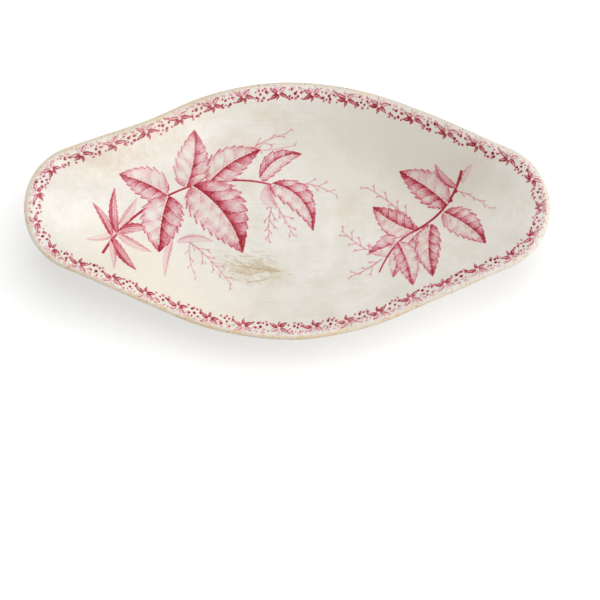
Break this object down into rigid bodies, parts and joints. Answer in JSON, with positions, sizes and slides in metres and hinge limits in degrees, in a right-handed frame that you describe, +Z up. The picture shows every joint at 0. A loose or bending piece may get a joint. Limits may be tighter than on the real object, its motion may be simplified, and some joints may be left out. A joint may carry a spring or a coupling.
{
  "type": "footed appetizer dish",
  "caption": "Footed navette appetizer dish in glazed earthenware: lozenge bowl with lifted ends and rounded lip, on an oval foot ring luted on with slip.",
  "frame": {"origin": "on the table under the middle of the dish, at the level of the foot ring's rest face", "axes": "+X along the dish from end to end, +Y across it, +Z up out of the bowl"},
  "size_m": [0.237, 0.116, 0.048],
  "materials": {
    "body_glaze": "glossy ivory glaze over a red transfer print, finely crackled and stained",
    "foot_glaze": "glossy ivory glaze, bare and worn on the rest face",
    "lute_glaze": "glossy ivory glaze pooled darker in the cove"
  },
  "bodies": {
    "root": {"dish_body": "body_glaze", "foot_ring": "foot_glaze", "slip_lute": "lute_glaze"}
  },
  "joints": []
}
